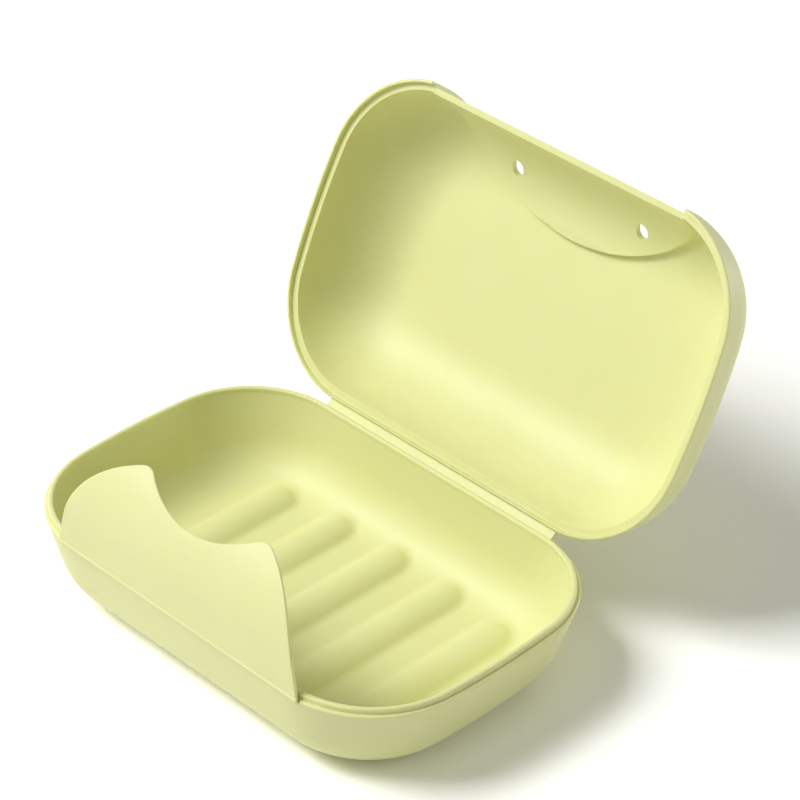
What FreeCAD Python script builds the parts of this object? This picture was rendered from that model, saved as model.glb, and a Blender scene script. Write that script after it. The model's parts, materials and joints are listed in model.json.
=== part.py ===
"""Travel soap box: a moulded tray and lid joined by a folding strap, closed by a front clasp flap.

Millimetres. X runs along the hinge, the clasp is at -Y, the hinge at +Y and +Z is up. The origin
is the centre of the tray's flat underside. Every piece is drawn as in the closed box, with the
parting plane between tray and lid at z = 0, then folded open and lifted onto the underside.
"""
import FreeCAD
import Part
import math
import os

V = FreeCAD.Vector

# Outline of both shells at the parting plane
LENGTH = 115.8
WIDTH = 75.4
CORNER_RADIUS = 24.4
END_CROWN_RADIUS = 200.0

# Tray
BASE_DEPTH = 20.6
BASE_SIDE_DRAFT = 9.5
BASE_END_DRAFT = 15.5
BASE_CORNER_GROWTH = 4.2
BASE_BOTTOM_ROUND = 13.5
BASE_WALL = 2.2
BASE_FLOOR = 2.5

# Lid
LID_DEPTH = 20.6
LID_SIDE_DRAFT = 13.0
LID_END_DRAFT = 11.5
LID_TOP_ROUND = 18.7
LID_WALL = 1.1
LID_TOP_WALL = 1.1

# Interlocking rim: the tray's tongue stands inside the lid's lip
RIM_WIDTH = 2.2
TONGUE_THICKNESS = 1.25
TONGUE_HEIGHT = 1.2
TONGUE_ROUND = 0.5
RIM_EDGE_ROUND = 0.4
TONGUE_SIDE_GAP = 0.15
TONGUE_TOP_GAP = 0.2
PARTING_GAP = 0.15

# Drying ribs on the tray's floor
RIB_COUNT = 5
RIB_END_MARGIN = 24.3
RIB_WIDTH = 9.6
RIB_HEIGHT = 2.2
RIB_MIDDLE_LENGTH = 59.0
RIB_END_SETBACK = 3.0
RIB_BLEND = 2.6

# Hinge strap behind the box
STRAP_LENGTH = 68.8
STRAP_THICKNESS = 1.0
STRAP_FOLD_HEIGHT = 1.2
STRAP_STANDOFF = 0.2
FOLD_GAP = 0.1
STRAP_END_GAP = 0.3

# Clasp flap: straight by its fold, then curved over the lid's front shoulder
CLASP_THICKNESS = 1.0
CLASP_BEAD_RADIUS = 0.7
CLASP_FOLD_HEIGHT = 0.1
CLASP_FOLD_INSET = 0.2
CLASP_CLOSED_LEAN = 19.7
CLASP_STRAIGHT = 7.9
CLASP_CURVE_RADIUS = 19.0
CLASP_ARC_RADIUS = 42.8
CLASP_ARC_REACH = 20.7
NOTCH_RADIUS = 25.5
NOTCH_SETBACK = 10.5
EAR_ROUND = 3.5
CLASP_EDGE_ROUND = 0.3
POCKET_EDGE_GAP = 0.4
POCKET_FLOOR_GAP = 0.35
POCKET_PANEL = 1.3
POCKET_STEP_WALL = 0.8

# Snap studs on the flap's ears and their holes in the lid's pocket
STUD_SPACING = 36.5
STUD_ALONG_FLAP = 21.5
STUD_RADIUS = 1.2
STUD_PROUD = 0.8
STUD_ROUND = 0.4
STUD_HOLE_GAP = 0.4
STUD_HOLE_STRETCH = 0.8

# Pose of the folds in the open box, in degrees from the closed box
STRAP_OPEN = 50.0
LID_OPEN = 66.0
CLASP_OPEN = 17.0

HALF_LENGTH = LENGTH / 2
HALF_WIDTH = WIDTH / 2
LEDGE_WIDTH = RIM_WIDTH - TONGUE_THICKNESS
LIP_THICKNESS = LEDGE_WIDTH - TONGUE_SIDE_GAP
LID_LEDGE_HEIGHT = TONGUE_HEIGHT + TONGUE_TOP_GAP
STRAP_FOLD_Y = HALF_WIDTH + STRAP_STANDOFF
CLASP_FOLD_Y = -HALF_WIDTH + CLASP_FOLD_INSET
CLASP_ARC_CENTRE_Y = -HALF_WIDTH + CLASP_ARC_REACH - CLASP_ARC_RADIUS
BEYOND = LENGTH
TOUCH = 1e-4
HOLE_REACH = CLASP_THICKNESS + POCKET_FLOOR_GAP + POCKET_PANEL + STUD_PROUD


def outline(half_length, half_width, corner, crown, z):
    """Closed wire: straight long sides, crowned ends and tangent corner arcs."""
    crown_x = half_length - crown
    corner_y = half_width - corner
    corner_x = crown_x + math.sqrt((crown - corner) ** 2 - corner_y ** 2)
    turn = math.atan2(corner_y, corner_x - crown_x)
    middle = (turn + math.pi / 2) / 2
    join = (corner_x + corner * math.cos(turn), corner_y + corner * math.sin(turn))
    bend = (corner_x + corner * math.cos(middle), corner_y + corner * math.sin(middle))

    def at(point, sx, sy):
        return V(sx * point[0], sy * point[1], z)

    side = (corner_x, half_width)
    tip = (half_length, 0.0)
    edges = [
        Part.Arc(at(join, 1, -1), at(tip, 1, 1), at(join, 1, 1)).toShape(),
        Part.Arc(at(join, 1, 1), at(bend, 1, 1), at(side, 1, 1)).toShape(),
        Part.makeLine(at(side, 1, 1), at(side, -1, 1)),
        Part.Arc(at(side, -1, 1), at(bend, -1, 1), at(join, -1, 1)).toShape(),
        Part.Arc(at(join, -1, 1), at(tip, -1, 1), at(join, -1, -1)).toShape(),
        Part.Arc(at(join, -1, -1), at(bend, -1, -1), at(side, -1, -1)).toShape(),
        Part.makeLine(at(side, -1, -1), at(side, 1, -1)),
        Part.Arc(at(side, 1, -1), at(bend, 1, -1), at(join, 1, -1)).toShape(),
    ]
    return Part.Wire(edges)


def rim_outline(inset, z):
    """The shells' rim outline moved inwards by inset."""
    corner = CORNER_RADIUS - inset
    crown = END_CROWN_RADIUS - inset
    return outline(HALF_LENGTH - inset, HALF_WIDTH - inset, corner, crown, z)


def far_outline(end_inset, side_inset, growth, z):
    """Far face of a drafted shell: ends and sides drawn in apart, corners made rounder by growth."""
    corner = CORNER_RADIUS - (end_inset + side_inset) / 2 + growth
    crown = END_CROWN_RADIUS - end_inset
    return outline(HALF_LENGTH - end_inset, HALF_WIDTH - side_inset, corner, crown, z)


def level_edges(shape, z):
    """Edges that lie in a level plane."""
    return [edge for edge in shape.Edges if max(abs(v.Point.z - z) for v in edge.Vertexes) < TOUCH]


def shared_edges(shape, first, second):
    """Edges of a shape whose middles lie on the skins of two other solids."""
    found = []
    for edge in shape.Edges:
        middle = Part.Vertex(edge.valueAt((edge.FirstParameter + edge.LastParameter) / 2))
        if all(middle.distToShape(solid.Shells[0])[0] < TOUCH for solid in (first, second)):
            found.append(edge)
    return found


def bowl(inset, end_inset, side_inset, growth, near_z, far_z, rounding):
    """Drafted solid from the rim outline at near_z to a smaller, rounded-off outline at far_z."""
    near = rim_outline(inset, near_z)
    far = far_outline(end_inset, side_inset, growth, far_z)
    body = Part.makeLoft([near, far], True, True)
    return body.makeFillet(rounding, level_edges(body, far_z))


def slab(inset, low, high):
    """Prism of the rim outline moved in by inset."""
    return Part.Face(rim_outline(inset, low)).extrude(V(0, 0, high - low))


def rod(radius, length, y, z):
    """Cylinder along X, centred on x = 0."""
    return Part.makeCylinder(radius, length, V(-length / 2, y, z), V(1, 0, 0))


def slot_box(length, y_low, y_high, z_low, z_high):
    """Box centred on x = 0."""
    return Part.makeBox(length, y_high - y_low, z_high - z_low, V(-length / 2, y_low, z_low))


def drop(depth, draft):
    """Inset that a draft angle gives over a depth."""
    return depth * math.tan(math.radians(draft))


def clasp_turn(along):
    """Lean of the closed flap's middle line from upright, at a distance along it."""
    return math.radians(CLASP_CLOSED_LEAN) + max(along - CLASP_STRAIGHT, 0.0) / CLASP_CURVE_RADIUS


def clasp_inward(along):
    """Unit normal of the closed flap, pointing into the box."""
    turned = clasp_turn(along)
    return V(0, math.cos(turned), -math.sin(turned))


def clasp_point(along, offset):
    """Point of the closed flap's profile: distance along its middle line, offset towards the box."""
    lean = clasp_turn(0.0)
    turned = clasp_turn(along)
    straight = min(along, CLASP_STRAIGHT)
    y = CLASP_FOLD_Y + straight * math.sin(lean)
    z = CLASP_FOLD_HEIGHT + straight * math.cos(lean)
    y += CLASP_CURVE_RADIUS * (math.cos(lean) - math.cos(turned))
    z += CLASP_CURVE_RADIUS * (math.sin(turned) - math.sin(lean))
    return V(0, y, z) + clasp_inward(along) * offset


def clasp_edges(offset, start, end):
    """Profile edges of the closed flap at an offset: a line, then an arc."""
    bend = CLASP_STRAIGHT
    middle = (bend + end) / 2
    line = Part.makeLine(clasp_point(start, offset), clasp_point(bend, offset))
    curve = Part.Arc(clasp_point(bend, offset), clasp_point(middle, offset), clasp_point(end, offset))
    return [line, curve.toShape()]


def clasp_end():
    """Distance along the flap at which its curve has turned level with the lid's top."""
    return CLASP_STRAIGHT + CLASP_CURVE_RADIUS * (math.pi / 2 - math.radians(CLASP_CLOSED_LEAN))


def arc_column(gap):
    """Upright column whose front-facing arc bounds the flap and its pocket in plan."""
    radius = CLASP_ARC_RADIUS + gap
    return Part.makeCylinder(radius, 2 * BEYOND, V(0, CLASP_ARC_CENTRE_Y, -BEYOND))


def outside_of_clasp(offset, gap):
    """Everything in front of the closed flap's profile at an offset, within the plan arc grown by gap."""
    end = clasp_end()
    edges = clasp_edges(offset, 0.0, end)
    low = edges[0].Vertexes[0].Point
    high = edges[-1].Vertexes[-1].Point
    front = V(0, -BEYOND, 0)
    corners = [high, high + V(0, 0, BEYOND), front + V(0, 0, high.z + BEYOND), front + V(0, 0, -BEYOND),
               V(0, low.y, -BEYOND), low]
    sides = [Part.makeLine(a, b) for a, b in zip(corners, corners[1:])]
    face = Part.Face(Part.Wire(Part.__sortEdges__(edges + sides)))
    region = face.extrude(V(LENGTH, 0, 0))
    region.translate(V(-HALF_LENGTH, 0, 0))
    return region.common(arc_column(gap))


def make_ribs():
    """Round-topped ribs spread along the tray; the outer ones are shorter, as its corners close in."""
    radius = (RIB_WIDTH ** 2 / 4 + RIB_HEIGHT ** 2) / (2 * RIB_HEIGHT)
    axis_z = BASE_FLOOR - BASE_DEPTH + RIB_HEIGHT - radius
    reach = (RIB_COUNT - 1) / 2
    pitch = (HALF_LENGTH - RIB_END_MARGIN) / reach
    ribs = []
    for index in range(RIB_COUNT):
        place = index - reach
        run = RIB_MIDDLE_LENGTH - RIB_WIDTH - 2 * RIB_END_SETBACK * (place / reach) ** 2
        x = place * pitch
        bar = Part.makeCylinder(radius, run, V(x, -run / 2, axis_z), V(0, 1, 0))
        ends = [Part.makeSphere(radius, V(x, side * run / 2, axis_z)) for side in (-1, 1)]
        ribs.append(bar.multiFuse(ends).removeSplitter())
    return ribs


def strap_seat(side):
    """Rebate and round trough that a strap edge folds in: side -1 on the tray, 1 on the lid."""
    length = STRAP_LENGTH + 2 * STRAP_END_GAP
    fold_z = side * STRAP_FOLD_HEIGHT
    trough = rod(STRAP_THICKNESS / 2 + FOLD_GAP, length, STRAP_FOLD_Y, fold_z)
    inner = STRAP_FOLD_Y - STRAP_THICKNESS / 2 - FOLD_GAP
    rebate = slot_box(length, inner, STRAP_FOLD_Y + BEYOND, min(fold_z, 0), max(fold_z, 0))
    return trough.fuse(rebate)


def make_base():
    """Tray with ledge, tongue, ribs, the strap's seat and the flap's trough."""
    hull = bowl(0, drop(BASE_DEPTH, BASE_END_DRAFT), drop(BASE_DEPTH, BASE_SIDE_DRAFT),
                BASE_CORNER_GROWTH, 0, -BASE_DEPTH, BASE_BOTTOM_ROUND)
    hull = hull.makeFillet(RIM_EDGE_ROUND, level_edges(hull, 0))
    inner_depth = BASE_DEPTH - BASE_FLOOR
    cavity = bowl(RIM_WIDTH, BASE_WALL + drop(inner_depth, BASE_END_DRAFT),
                  BASE_WALL + drop(inner_depth, BASE_SIDE_DRAFT),
                  BASE_CORNER_GROWTH, 0, -inner_depth, BASE_BOTTOM_ROUND - BASE_WALL)
    base = hull.cut(cavity)
    for rib in make_ribs():
        base = base.fuse(rib.common(cavity)).removeSplitter()
        base = base.makeFillet(RIB_BLEND, shared_edges(base, rib, cavity))
    ring = slab(LEDGE_WIDTH, 0, TONGUE_HEIGHT).cut(slab(RIM_WIDTH, 0, TONGUE_HEIGHT))
    tongue = ring.makeFillet(TONGUE_ROUND, level_edges(ring, TONGUE_HEIGHT))
    base = base.fuse(tongue)
    trough = rod(CLASP_BEAD_RADIUS + FOLD_GAP, BEYOND, CLASP_FOLD_Y, CLASP_FOLD_HEIGHT)
    trough = trough.common(arc_column(POCKET_EDGE_GAP))
    above_fold = slot_box(LENGTH, -BEYOND, 0, CLASP_FOLD_HEIGHT, BEYOND)
    relief = outside_of_clasp(CLASP_THICKNESS / 2 + FOLD_GAP, POCKET_EDGE_GAP).common(above_fold)
    return base.cut([strap_seat(-1), trough, relief]).removeSplitter()


def stud_place(side):
    """Point on the closed flap's middle line that carries a stud."""
    return clasp_point(STUD_ALONG_FLAP, 0.0) + V(side * STUD_SPACING / 2, 0, 0)


def stud_hole(side):
    """Oval hole along the stud, stretched along the flap so that the stud can swing in."""
    radius = STUD_RADIUS + STUD_HOLE_GAP
    inward = clasp_inward(STUD_ALONG_FLAP)
    across = V(1, 0, 0) * radius
    along = inward.cross(V(1, 0, 0))
    start = stud_place(side) - inward * HOLE_REACH
    upper = start + along * (STUD_HOLE_STRETCH / 2)
    lower = start - along * (STUD_HOLE_STRETCH / 2)
    edges = [
        Part.Arc(upper + across, upper + along * radius, upper - across).toShape(),
        Part.makeLine(upper - across, lower - across),
        Part.Arc(lower - across, lower - along * radius, lower + across).toShape(),
        Part.makeLine(lower + across, upper + across),
    ]
    return Part.Face(Part.Wire(edges)).extrude(inward * 2 * HOLE_REACH)


def make_lid():
    """Lid with lip, ledge over the tongue, the flap's pocket, stud holes and the strap's seat."""
    end_drop = drop(LID_DEPTH, LID_END_DRAFT)
    side_drop = drop(LID_DEPTH, LID_SIDE_DRAFT)
    hull = bowl(0, end_drop, side_drop, 0, PARTING_GAP, LID_DEPTH, LID_TOP_ROUND)
    hull = hull.makeFillet(RIM_EDGE_ROUND, level_edges(hull, PARTING_GAP))
    cavity = bowl(RIM_WIDTH, LID_WALL + end_drop, LID_WALL + side_drop,
                  0, 0, LID_DEPTH - LID_TOP_WALL, LID_TOP_ROUND - LID_WALL)
    floor = CLASP_THICKNESS / 2 + POCKET_FLOOR_GAP
    backing = outside_of_clasp(floor + POCKET_PANEL, POCKET_EDGE_GAP + POCKET_STEP_WALL)
    pocket = outside_of_clasp(floor, POCKET_EDGE_GAP)
    lid = hull.cut(cavity.cut(backing)).cut(pocket)
    lid = lid.cut(slab(LIP_THICKNESS, 0, LID_LEDGE_HEIGHT))
    holes = [stud_hole(side) for side in (-1, 1)]
    return lid.cut(holes + [strap_seat(1)]).removeSplitter()


def make_strap():
    """Flat band with a round edge on each fold line."""
    fold = STRAP_FOLD_HEIGHT
    half = STRAP_THICKNESS / 2
    band = slot_box(STRAP_LENGTH, STRAP_FOLD_Y - half, STRAP_FOLD_Y + half, -fold, fold)
    edges = [rod(half, STRAP_LENGTH, STRAP_FOLD_Y, side * fold) for side in (-1, 1)]
    return band.fuse(edges).removeSplitter()


def make_clasp():
    """Curved flap with a bead on its fold line, a finger notch and a stud on each ear."""
    half = CLASP_THICKNESS / 2
    end = clasp_end()
    neck = math.sqrt(CLASP_BEAD_RADIUS ** 2 - half ** 2)
    inner = clasp_edges(half, neck, end)
    outer = clasp_edges(-half, neck, end)
    foot_tip = clasp_point(0.0, 0.0) - V(1, 0, 0).cross(clasp_inward(0.0)) * CLASP_BEAD_RADIUS
    foot = Part.Arc(clasp_point(neck, -half), foot_tip, clasp_point(neck, half)).toShape()
    head = Part.makeLine(clasp_point(end, -half), clasp_point(end, half))
    face = Part.Face(Part.Wire(Part.__sortEdges__(inner + outer + [foot, head])))
    plate = face.extrude(V(LENGTH, 0, 0))
    plate.translate(V(-HALF_LENGTH, 0, 0))
    notch_y = -HALF_WIDTH + CLASP_ARC_REACH - NOTCH_SETBACK + NOTCH_RADIUS
    notch = Part.makeCylinder(NOTCH_RADIUS, 2 * BEYOND, V(0, notch_y, -BEYOND))
    column = arc_column(0.0).cut(notch)
    tips = shared_edges(column, arc_column(0.0), notch)
    tips = [edge for edge in tips if edge.BoundBox.ZLength > BEYOND]
    column = column.makeFillet(EAR_ROUND, tips)
    flap = plate.common(column)
    flap = flap.makeFillet(CLASP_EDGE_ROUND, shared_edges(flap, plate, column))
    inward = clasp_inward(STUD_ALONG_FLAP)
    length = half + POCKET_FLOOR_GAP + POCKET_PANEL + STUD_PROUD
    studs = []
    for side in (-1, 1):
        foot_point = stud_place(side)
        stud = Part.makeCylinder(STUD_RADIUS, length, foot_point, inward)
        tip_edge = max(stud.Edges, key=lambda edge: edge.CenterOfMass.distanceToPoint(foot_point))
        studs.append(stud.makeFillet(STUD_ROUND, [tip_edge]))
    return flap.fuse(studs).removeSplitter()


def fold(shape, y, z, angle):
    """Turn a piece about a fold line along X, opening it backwards for a positive angle."""
    turned = shape.copy()
    turned.rotate(V(0, y, z), V(-1, 0, 0), angle)
    return turned


def main():
    base = make_base()
    strap = fold(make_strap(), STRAP_FOLD_Y, -STRAP_FOLD_HEIGHT, STRAP_OPEN)
    lid = fold(make_lid(), STRAP_FOLD_Y, STRAP_FOLD_HEIGHT, LID_OPEN)
    lid = fold(lid, STRAP_FOLD_Y, -STRAP_FOLD_HEIGHT, STRAP_OPEN)
    clasp = fold(make_clasp(), CLASP_FOLD_Y, CLASP_FOLD_HEIGHT, -CLASP_OPEN)
    pieces = {"base_shell": base, "hinge_strap": strap, "lid_shell": lid, "clasp_flap": clasp}
    os.makedirs("parts", exist_ok=True)
    for name, shape in pieces.items():
        shape.translate(V(0, 0, BASE_DEPTH))
        solid = shape.Solids[0]
        print(name, len(shape.Solids), solid.isValid(), round(solid.Volume), solid.CenterOfMass)
        solid.exportStep("parts/" + name + ".step")


main()
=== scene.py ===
"""Travel soap box: finishes, stage and camera around its CAD frame.

Metres in the frame's own axes: X along the hinge, the clasp flap at -Y, the open lid at +Y, +Z up.
"""
import json
import math

import bpy
import numpy as np
from bpy.props import FloatProperty, FloatVectorProperty, IntProperty, PointerProperty, StringProperty
from mathutils import Matrix, Vector


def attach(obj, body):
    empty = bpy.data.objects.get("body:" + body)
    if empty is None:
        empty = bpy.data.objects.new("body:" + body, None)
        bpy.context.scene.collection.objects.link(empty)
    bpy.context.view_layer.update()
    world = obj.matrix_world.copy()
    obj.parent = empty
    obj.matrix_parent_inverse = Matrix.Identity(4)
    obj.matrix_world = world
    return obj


bl_info = {
    "name": "Travel soap box",
    "version": (1, 0, 0),
    "blender": (4, 5, 0),
    "location": "3D View > Sidebar > Soap box",
    "description": "Builds a moulded travel soap box with its stage",
    "category": "Object",
}

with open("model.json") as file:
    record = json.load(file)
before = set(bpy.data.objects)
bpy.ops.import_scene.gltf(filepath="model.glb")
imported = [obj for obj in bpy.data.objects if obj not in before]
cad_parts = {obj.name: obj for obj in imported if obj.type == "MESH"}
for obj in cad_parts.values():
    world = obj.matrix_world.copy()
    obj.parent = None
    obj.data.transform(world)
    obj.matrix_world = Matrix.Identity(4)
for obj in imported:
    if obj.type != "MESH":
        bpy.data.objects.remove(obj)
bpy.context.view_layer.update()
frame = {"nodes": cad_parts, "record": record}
MM = 0.001
SENSOR_WIDTH = 36.0
CLIP_START = 0.01


class SoapBoxFinish(bpy.types.PropertyGroup):
    """Colour and surface of the moulded polypropylene."""

    colour: StringProperty(name="Colour", description="Body colour, sRGB hex", default="E8E9AD")
    flow_colour: StringProperty(
        name="Flow colour", description="Colour of the faint flow marks, sRGB hex", default="E4E5A3")
    flow_size: FloatProperty(
        name="Flow size", description="Width of the flow marks", default=18 * MM, unit="LENGTH")
    roughness_low: FloatProperty(
        name="Least roughness", description="Roughness on the grain's tops", default=0.42, subtype="FACTOR")
    roughness_high: FloatProperty(
        name="Most roughness", description="Roughness in the grain's hollows", default=0.56, subtype="FACTOR")
    grain_size: FloatProperty(
        name="Grain size", description="Width of the tool texture's grains", default=0.5 * MM, unit="LENGTH")
    grain_depth: FloatProperty(
        name="Grain depth", description="Depth of the tool texture", default=0.006 * MM, unit="LENGTH")
    refraction: FloatProperty(name="Refraction", description="Index of polypropylene", default=1.49)
    scatter: FloatProperty(
        name="Scatter", description="Share of the light that spreads inside the plastic", default=0.45,
        subtype="FACTOR")
    scatter_depth: FloatProperty(
        name="Scatter depth", description="How far red and green light spread inside the plastic",
        default=0.8 * MM, unit="LENGTH")
    scatter_blue: FloatProperty(
        name="Blue scatter", description="Blue light's spread as a share of that", default=0.2,
        subtype="FACTOR")


class SoapBoxStep(bpy.types.PropertyGroup):
    """Crown of the step wall inside the lid, round the end of the flap's pocket; places on the closed box."""

    arc_radius: FloatProperty(
        name="Arc radius", description="Radius of the step's outer edge", default=44.0 * MM, unit="LENGTH")
    arc_centre: FloatProperty(
        name="Arc centre", description="Y of the arc's centre", default=-59.8 * MM, unit="LENGTH")
    seat: FloatProperty(
        name="Seat", description="Y of the pocket panel's end, which the step joins", default=-16.96 * MM,
        unit="LENGTH")
    low: FloatProperty(
        name="Underside", description="Height of the step's inner face", default=38.58 * MM, unit="LENGTH")
    high: FloatProperty(
        name="Top", description="Height inside the lid's top wall", default=40.2 * MM, unit="LENGTH")
    half_width: FloatProperty(
        name="Half width", description="Reach to each side along X", default=9.6 * MM, unit="LENGTH")
    edge_round: FloatProperty(
        name="Edge round", description="Radius of the step's inner edge", default=0.3 * MM, unit="LENGTH")
    crease: FloatProperty(
        name="Crease", description="Least angle of an edge that stays sharp", default=math.radians(40),
        subtype="ANGLE")
    columns: IntProperty(name="Columns", description="Sections along X", default=33)
    corners: IntProperty(name="Corners", description="Points round the inner edge", default=5)


class SoapBoxStage(bpy.types.PropertyGroup):
    """Floor, lamps and camera."""

    floor_size: FloatProperty(name="Floor size", description="Side of the floor", default=6.0, unit="LENGTH")
    floor_colour: StringProperty(name="Floor colour", description="Floor colour, sRGB hex", default="F4F4F2")
    floor_gain: FloatProperty(
        name="Floor gain", description="How much lighter the camera and reflections see the floor",
        default=1.45)
    room_bright: FloatProperty(
        name="Bright side", description="Strength of the white room on the key lamp's side", default=0.46)
    room_turn: FloatProperty(
        name="Room turn", description="Cosine from the key lamp's side at which the room is darkest",
        default=-0.4)
    room_dark: FloatProperty(
        name="Dark side", description="Strength of the white room on the far side", default=0.05)
    aim: FloatVectorProperty(
        name="Aim", description="Point that the lamps face", default=(0, 0.02, 0.03), subtype="XYZ")
    key_power: FloatProperty(
        name="Key power", description="Power of the key lamp", default=15.6, unit="POWER")
    key_size: FloatProperty(name="Key size", description="Side of the key lamp", default=0.65, unit="LENGTH")
    key_place: FloatVectorProperty(
        name="Key place", description="Place of the key lamp", default=(-0.56, -0.62, 1.1), subtype="XYZ")
    fill_power: FloatProperty(
        name="Fill power", description="Power of the low fill lamp", default=1.1, unit="POWER")
    fill_size: FloatProperty(
        name="Fill size", description="Side of the fill lamp", default=0.1, unit="LENGTH")
    fill_place: FloatVectorProperty(
        name="Fill place", description="Place of the fill lamp", default=(1.0, 0.3, 0.07), subtype="XYZ")
    back_power: FloatProperty(
        name="Back power", description="Power of the low lamp behind the lid", default=3.3, unit="POWER")
    back_size: FloatProperty(
        name="Back size", description="Side of the back lamp", default=0.18, unit="LENGTH")
    back_place: FloatVectorProperty(
        name="Back place", description="Place of the back lamp", default=(0.3, 1.1, 0.11), subtype="XYZ")
    camera_target: FloatVectorProperty(
        name="Camera target", description="Point on the camera's axis", default=(-0.02884, 0.05294, 0.0206),
        subtype="XYZ")
    camera_distance: FloatProperty(
        name="Camera distance", description="From the target to the camera", default=0.74177, unit="LENGTH")
    camera_azimuth: FloatProperty(
        name="Camera azimuth", description="Turn of the view from +Y", default=math.radians(44.88),
        subtype="ANGLE")
    camera_elevation: FloatProperty(
        name="Camera elevation", description="Height of the view", default=math.radians(34.47),
        subtype="ANGLE")
    camera_roll: FloatProperty(
        name="Camera roll", description="Turn about the camera's axis", default=math.radians(1.0),
        subtype="ANGLE")
    camera_lens: FloatProperty(
        name="Camera lens", description="Focal length in millimetres", default=148.08,
        subtype="DISTANCE_CAMERA")
    camera_shift: FloatVectorProperty(
        name="Camera shift", description="Framing shift, share of the width", size=2,
        default=(0.0108, -0.0159))


def linear(hex_colour):
    """An sRGB hex colour as linear RGB with alpha 1."""
    parts = [int(hex_colour[i:i + 2], 16) / 255 for i in (0, 2, 4)]
    low = [c / 12.92 for c in parts]
    high = [((c + 0.055) / 1.055) ** 2.4 for c in parts]
    return [h if c > 0.04045 else l for c, h, l in zip(parts, high, low)] + [1.0]


def add_node(tree, kind, settings=None, **inputs):
    """Add a shader node, set its properties, and set or link its inputs by name."""
    node = tree.nodes.new(kind)
    for name, value in (settings or {}).items():
        setattr(node, name, value)
    for name, value in inputs.items():
        socket = node.inputs[name.replace("_", " ")]
        if isinstance(value, bpy.types.NodeSocket):
            tree.links.new(value, socket)
        else:
            socket.default_value = value
    return node


def new_material(name):
    """An empty node material and its tree."""
    material = bpy.data.materials.new(name)
    material.use_nodes = True
    material.node_tree.nodes.clear()
    return material, material.node_tree


def moulded_polypropylene(finish):
    """Matt polypropylene moulded in a spark-eroded tool, slightly translucent.

    The fine even grain catches the light as a soft haze, faint flow marks tint the colour, and light
    that passes through a thin wall comes out a deeper yellow, because the blue is taken up first.
    """
    material, tree = new_material("moulded_polypropylene")
    place = add_node(tree, "ShaderNodeTexCoord").outputs["Object"]
    grain = add_node(tree, "ShaderNodeTexNoise", Vector=place, Scale=1 / finish.grain_size, Detail=3.0)
    bump = add_node(tree, "ShaderNodeBump", Strength=1.0, Distance=finish.grain_depth,
                    Height=grain.outputs["Fac"])
    rough = add_node(tree, "ShaderNodeMapRange", Value=grain.outputs["Fac"], To_Min=finish.roughness_high,
                     To_Max=finish.roughness_low)
    flow = add_node(tree, "ShaderNodeTexNoise", Vector=place, Scale=1 / finish.flow_size, Detail=2.0)
    colour = add_node(tree, "ShaderNodeMix", {"data_type": "RGBA"})
    tree.links.new(flow.outputs["Fac"], colour.inputs[0])
    colour.inputs[6].default_value = linear(finish.colour)
    colour.inputs[7].default_value = linear(finish.flow_colour)
    surface = add_node(tree, "ShaderNodeBsdfPrincipled", Base_Color=colour.outputs[2],
                       Roughness=rough.outputs["Result"], IOR=finish.refraction,
                       Normal=bump.outputs["Normal"], Subsurface_Weight=finish.scatter,
                       Subsurface_Scale=finish.scatter_depth,
                       Subsurface_Radius=(1.0, 1.0, finish.scatter_blue))
    add_node(tree, "ShaderNodeOutputMaterial", Surface=surface.outputs["BSDF"])
    return material


def seen_directly(tree):
    """1 for rays from the camera and from reflections or glass, and 0 for the light that falls on things."""
    rays = add_node(tree, "ShaderNodeLightPath")
    total = rays.outputs["Is Camera Ray"]
    for name in ("Is Glossy Ray", "Is Transmission Ray"):
        larger = add_node(tree, "ShaderNodeMath", {"operation": "MAXIMUM"})
        tree.links.new(total, larger.inputs[0])
        tree.links.new(rays.outputs[name], larger.inputs[1])
        total = larger.outputs["Value"]
    return total


def studio_floor(stage):
    """Matt white paper sweep that keeps the object's shadow; seen directly, it is a little whiter."""
    material, tree = new_material("paper_sweep")
    gain = add_node(tree, "ShaderNodeMapRange", Value=seen_directly(tree), To_Min=1.0,
                    To_Max=stage.floor_gain)
    white = add_node(tree, "ShaderNodeVectorMath", {"operation": "SCALE"},
                     Vector=linear(stage.floor_colour)[:3], Scale=gain.outputs["Result"])
    paper = add_node(tree, "ShaderNodeBsdfDiffuse", Color=white.outputs["Vector"])
    add_node(tree, "ShaderNodeOutputMaterial", Surface=paper.outputs["BSDF"])
    return material


def finish_node(name, material):
    """Give a CAD node its material and smooth shading."""
    node = frame["nodes"][name]
    node.data.materials.clear()
    node.data.materials.append(material)
    node.data.shade_smooth()


def body_plastic():
    """The one plastic that every piece of the box is moulded from."""
    found = bpy.data.materials.get("moulded_polypropylene")
    return found or moulded_polypropylene(bpy.context.scene.soapbox_finish)


def lid_at_rest():
    """Matrix that carries a point of the closed lid to the open lid, one fold after the other."""
    joints = {joint["name"]: joint for joint in frame["record"]["behaviour"]["joints"]}
    carried = Matrix.Identity(4)
    for name in ("strap_fold", "lid_fold"):
        place = Vector(joints[name]["pos_m"])
        opening = -math.radians(joints[name]["range_deg"][0])
        turn = Matrix.Rotation(opening, 4, Vector(joints[name]["axis"]))
        carried = Matrix.Translation(place) @ turn @ Matrix.Translation(-place) @ carried
    return carried


def step_sections(step):
    """Points of the step's crown: one section across it for each place along X, on the closed box."""
    x = np.linspace(-step.half_width, step.half_width, step.columns)
    edge = step.arc_centre + np.sqrt(step.arc_radius ** 2 - x ** 2)
    radius = np.minimum(step.edge_round, (edge - step.seat) / 2)
    angle = np.linspace(0, math.pi / 2, step.corners)
    round_y = edge[:, None] - radius[:, None] * (1 - np.sin(angle))
    round_z = step.low + radius[:, None] * (1 - np.cos(angle))
    seat = np.full((step.columns, 1), step.seat)
    y = np.hstack([seat, round_y, edge[:, None], seat])
    z = np.hstack([np.full_like(seat, step.low), round_z, np.full_like(seat, step.high),
                   np.full_like(seat, step.high)])
    return np.stack([np.broadcast_to(x[:, None], y.shape), y, z], axis=-1)


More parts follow.
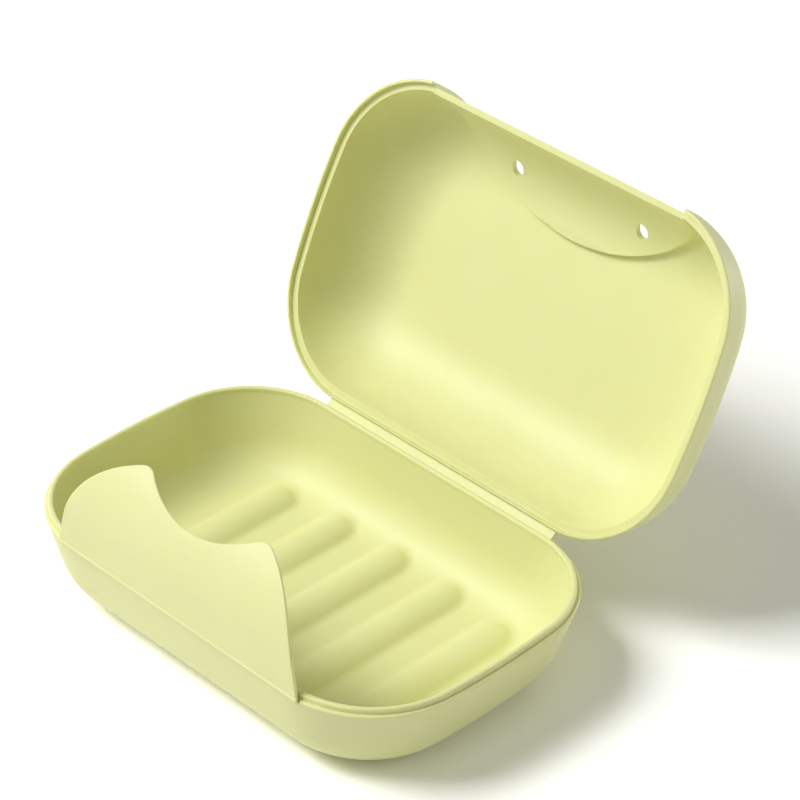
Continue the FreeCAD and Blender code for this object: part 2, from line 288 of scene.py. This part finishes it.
def section_mesh(name, sections, crease):
    """Closed mesh through a row of sections with flat ends."""
    columns, points = sections.shape[:2]
    index = np.arange(columns * points).reshape(columns, points)
    ahead = np.roll(index, -1, axis=1)
    sides = np.stack([index[:-1], index[1:], ahead[1:], ahead[:-1]], axis=-1).reshape(-1, 4)
    faces = sides.tolist() + [index[0].tolist(), index[-1][::-1].tolist()]
    mesh = bpy.data.meshes.new(name)
    mesh.from_pydata(sections.reshape(-1, 3).tolist(), [], faces)
    mesh.shade_smooth()
    mesh.set_sharp_from_angle(angle=crease)
    return mesh


class SOAPBOX_OT_base(bpy.types.Operator):
    """Finish the tray"""

    bl_idname = "soapbox.base"
    bl_label = "Tray"

    def execute(self, context):
        finish_node("base_shell", body_plastic())
        return {"FINISHED"}


class SOAPBOX_OT_lid(bpy.types.Operator):
    """Finish the lid"""

    bl_idname = "soapbox.lid"
    bl_label = "Lid"

    def execute(self, context):
        finish_node("lid_shell", body_plastic())
        return {"FINISHED"}


class SOAPBOX_OT_step(bpy.types.Operator):
    """Make the crown of the pocket's step wall"""

    bl_idname = "soapbox.step"
    bl_label = "Pocket step"

    def execute(self, context):
        step = context.scene.soapbox_step
        mesh = section_mesh("pocket_step", step_sections(step), step.crease)
        mesh.transform(lid_at_rest())
        mesh.materials.append(body_plastic())
        crown = bpy.data.objects.new("pocket_step", mesh)
        context.collection.objects.link(crown)
        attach(crown, "lid")
        return {"FINISHED"}


class SOAPBOX_OT_strap(bpy.types.Operator):
    """Finish the hinge strap"""

    bl_idname = "soapbox.strap"
    bl_label = "Hinge strap"

    def execute(self, context):
        finish_node("hinge_strap", body_plastic())
        return {"FINISHED"}


class SOAPBOX_OT_flap(bpy.types.Operator):
    """Finish the clasp flap"""

    bl_idname = "soapbox.flap"
    bl_label = "Clasp flap"

    def execute(self, context):
        finish_node("clasp_flap", body_plastic())
        return {"FINISHED"}


def make_floor(stage):
    """A square sheet of paper under the object."""
    half = stage.floor_size / 2
    mesh = bpy.data.meshes.new("floor")
    corners = [(-half, -half, 0), (half, -half, 0), (half, half, 0), (-half, half, 0)]
    mesh.from_pydata(corners, [], [(0, 1, 2, 3)])
    floor = bpy.data.objects.new("floor", mesh)
    mesh.materials.append(studio_floor(stage))
    bpy.context.collection.objects.link(floor)


def make_world(stage):
    """A white room, brighter on the key lamp's side; seen directly, it is plain white."""
    world = bpy.data.worlds.new("white_room")
    bpy.context.scene.world = world
    world.use_nodes = True
    tree = world.node_tree
    tree.nodes.clear()
    way = add_node(tree, "ShaderNodeTexCoord").outputs["Generated"]
    side = add_node(tree, "ShaderNodeVectorMath", {"operation": "DOT_PRODUCT"})
    tree.links.new(way, side.inputs[0])
    side.inputs[1].default_value = stage.key_place.normalized()
    light = add_node(tree, "ShaderNodeMapRange", Value=side.outputs["Value"], From_Min=stage.room_turn,
                     From_Max=1.0, To_Min=stage.room_dark, To_Max=stage.room_bright)
    strength = add_node(tree, "ShaderNodeMapRange", Value=seen_directly(tree), To_Min=light.outputs["Result"],
                        To_Max=1.0)
    room = add_node(tree, "ShaderNodeBackground", Strength=strength.outputs["Result"])
    add_node(tree, "ShaderNodeOutputWorld", Surface=room.outputs["Background"])


def make_lamp(name, place, target, size, power):
    """A square soft lamp aimed at a point."""
    lamp = bpy.data.lights.new(name, "AREA")
    lamp.size = size
    lamp.energy = power
    holder = bpy.data.objects.new(name, lamp)
    holder.location = place
    holder.rotation_euler = (Vector(target) - Vector(place)).to_track_quat("-Z", "Y").to_euler()
    bpy.context.collection.objects.link(holder)


def make_camera(stage):
    """The photograph's view: azimuth and elevation about the target, a slight roll and a framing shift."""
    turn, height = stage.camera_azimuth, stage.camera_elevation
    back = Vector((math.sin(turn) * math.cos(height), -math.cos(turn) * math.cos(height), math.sin(height)))
    right = Vector((math.cos(turn), math.sin(turn), 0))
    up = back.cross(right)
    roll = stage.camera_roll
    rolled_right = math.cos(roll) * right + math.sin(roll) * up
    rolled_up = math.cos(roll) * up - math.sin(roll) * right
    axes = Matrix((rolled_right, rolled_up, back)).transposed().to_4x4()
    data = bpy.data.cameras.new("camera")
    data.sensor_width = SENSOR_WIDTH
    data.lens = stage.camera_lens
    data.shift_x, data.shift_y = stage.camera_shift
    data.clip_start = CLIP_START
    camera = bpy.data.objects.new("camera", data)
    place = Vector(stage.camera_target) + back * stage.camera_distance
    camera.matrix_world = Matrix.Translation(place) @ axes
    bpy.context.collection.objects.link(camera)
    bpy.context.scene.camera = camera


class SOAPBOX_OT_stage(bpy.types.Operator):
    """Make the floor, lamps and camera"""

    bl_idname = "soapbox.stage"
    bl_label = "Stage"

    def execute(self, context):
        stage = context.scene.soapbox_stage
        make_floor(stage)
        make_world(stage)
        make_lamp("key", stage.key_place, stage.aim, stage.key_size, stage.key_power)
        make_lamp("fill", stage.fill_place, stage.aim, stage.fill_size, stage.fill_power)
        make_lamp("back", stage.back_place, stage.aim, stage.back_size, stage.back_power)
        make_camera(stage)
        context.scene.view_settings.view_transform = "Standard"
        return {"FINISHED"}


OPERATORS = (SOAPBOX_OT_base, SOAPBOX_OT_lid, SOAPBOX_OT_step, SOAPBOX_OT_strap, SOAPBOX_OT_flap,
             SOAPBOX_OT_stage)


class SOAPBOX_PT_panel(bpy.types.Panel):
    """Lists the soap box's pieces and its stage"""

    bl_label = "Soap box"
    bl_space_type = "VIEW_3D"
    bl_region_type = "UI"
    bl_category = "Soap box"

    def draw(self, context):
        for operator in OPERATORS:
            self.layout.operator(operator.bl_idname)
        scene = context.scene
        for group in (scene.soapbox_finish, scene.soapbox_step, scene.soapbox_stage):
            for name in group.__annotations__:
                self.layout.prop(group, name)


CLASSES = (SoapBoxFinish, SoapBoxStep, SoapBoxStage, *OPERATORS, SOAPBOX_PT_panel)


def register():
    for cls in CLASSES:
        bpy.utils.register_class(cls)
    bpy.types.Scene.soapbox_finish = PointerProperty(type=SoapBoxFinish)
    bpy.types.Scene.soapbox_step = PointerProperty(type=SoapBoxStep)
    bpy.types.Scene.soapbox_stage = PointerProperty(type=SoapBoxStage)


def unregister():
    del bpy.types.Scene.soapbox_stage
    del bpy.types.Scene.soapbox_step
    del bpy.types.Scene.soapbox_finish
    for cls in reversed(CLASSES):
        bpy.utils.unregister_class(cls)


def main():
    register()
    bpy.ops.soapbox.base()
    bpy.ops.soapbox.lid()
    bpy.ops.soapbox.step()
    bpy.ops.soapbox.strap()
    bpy.ops.soapbox.flap()
    bpy.ops.soapbox.stage()


if __name__ == "__main__":
    main()
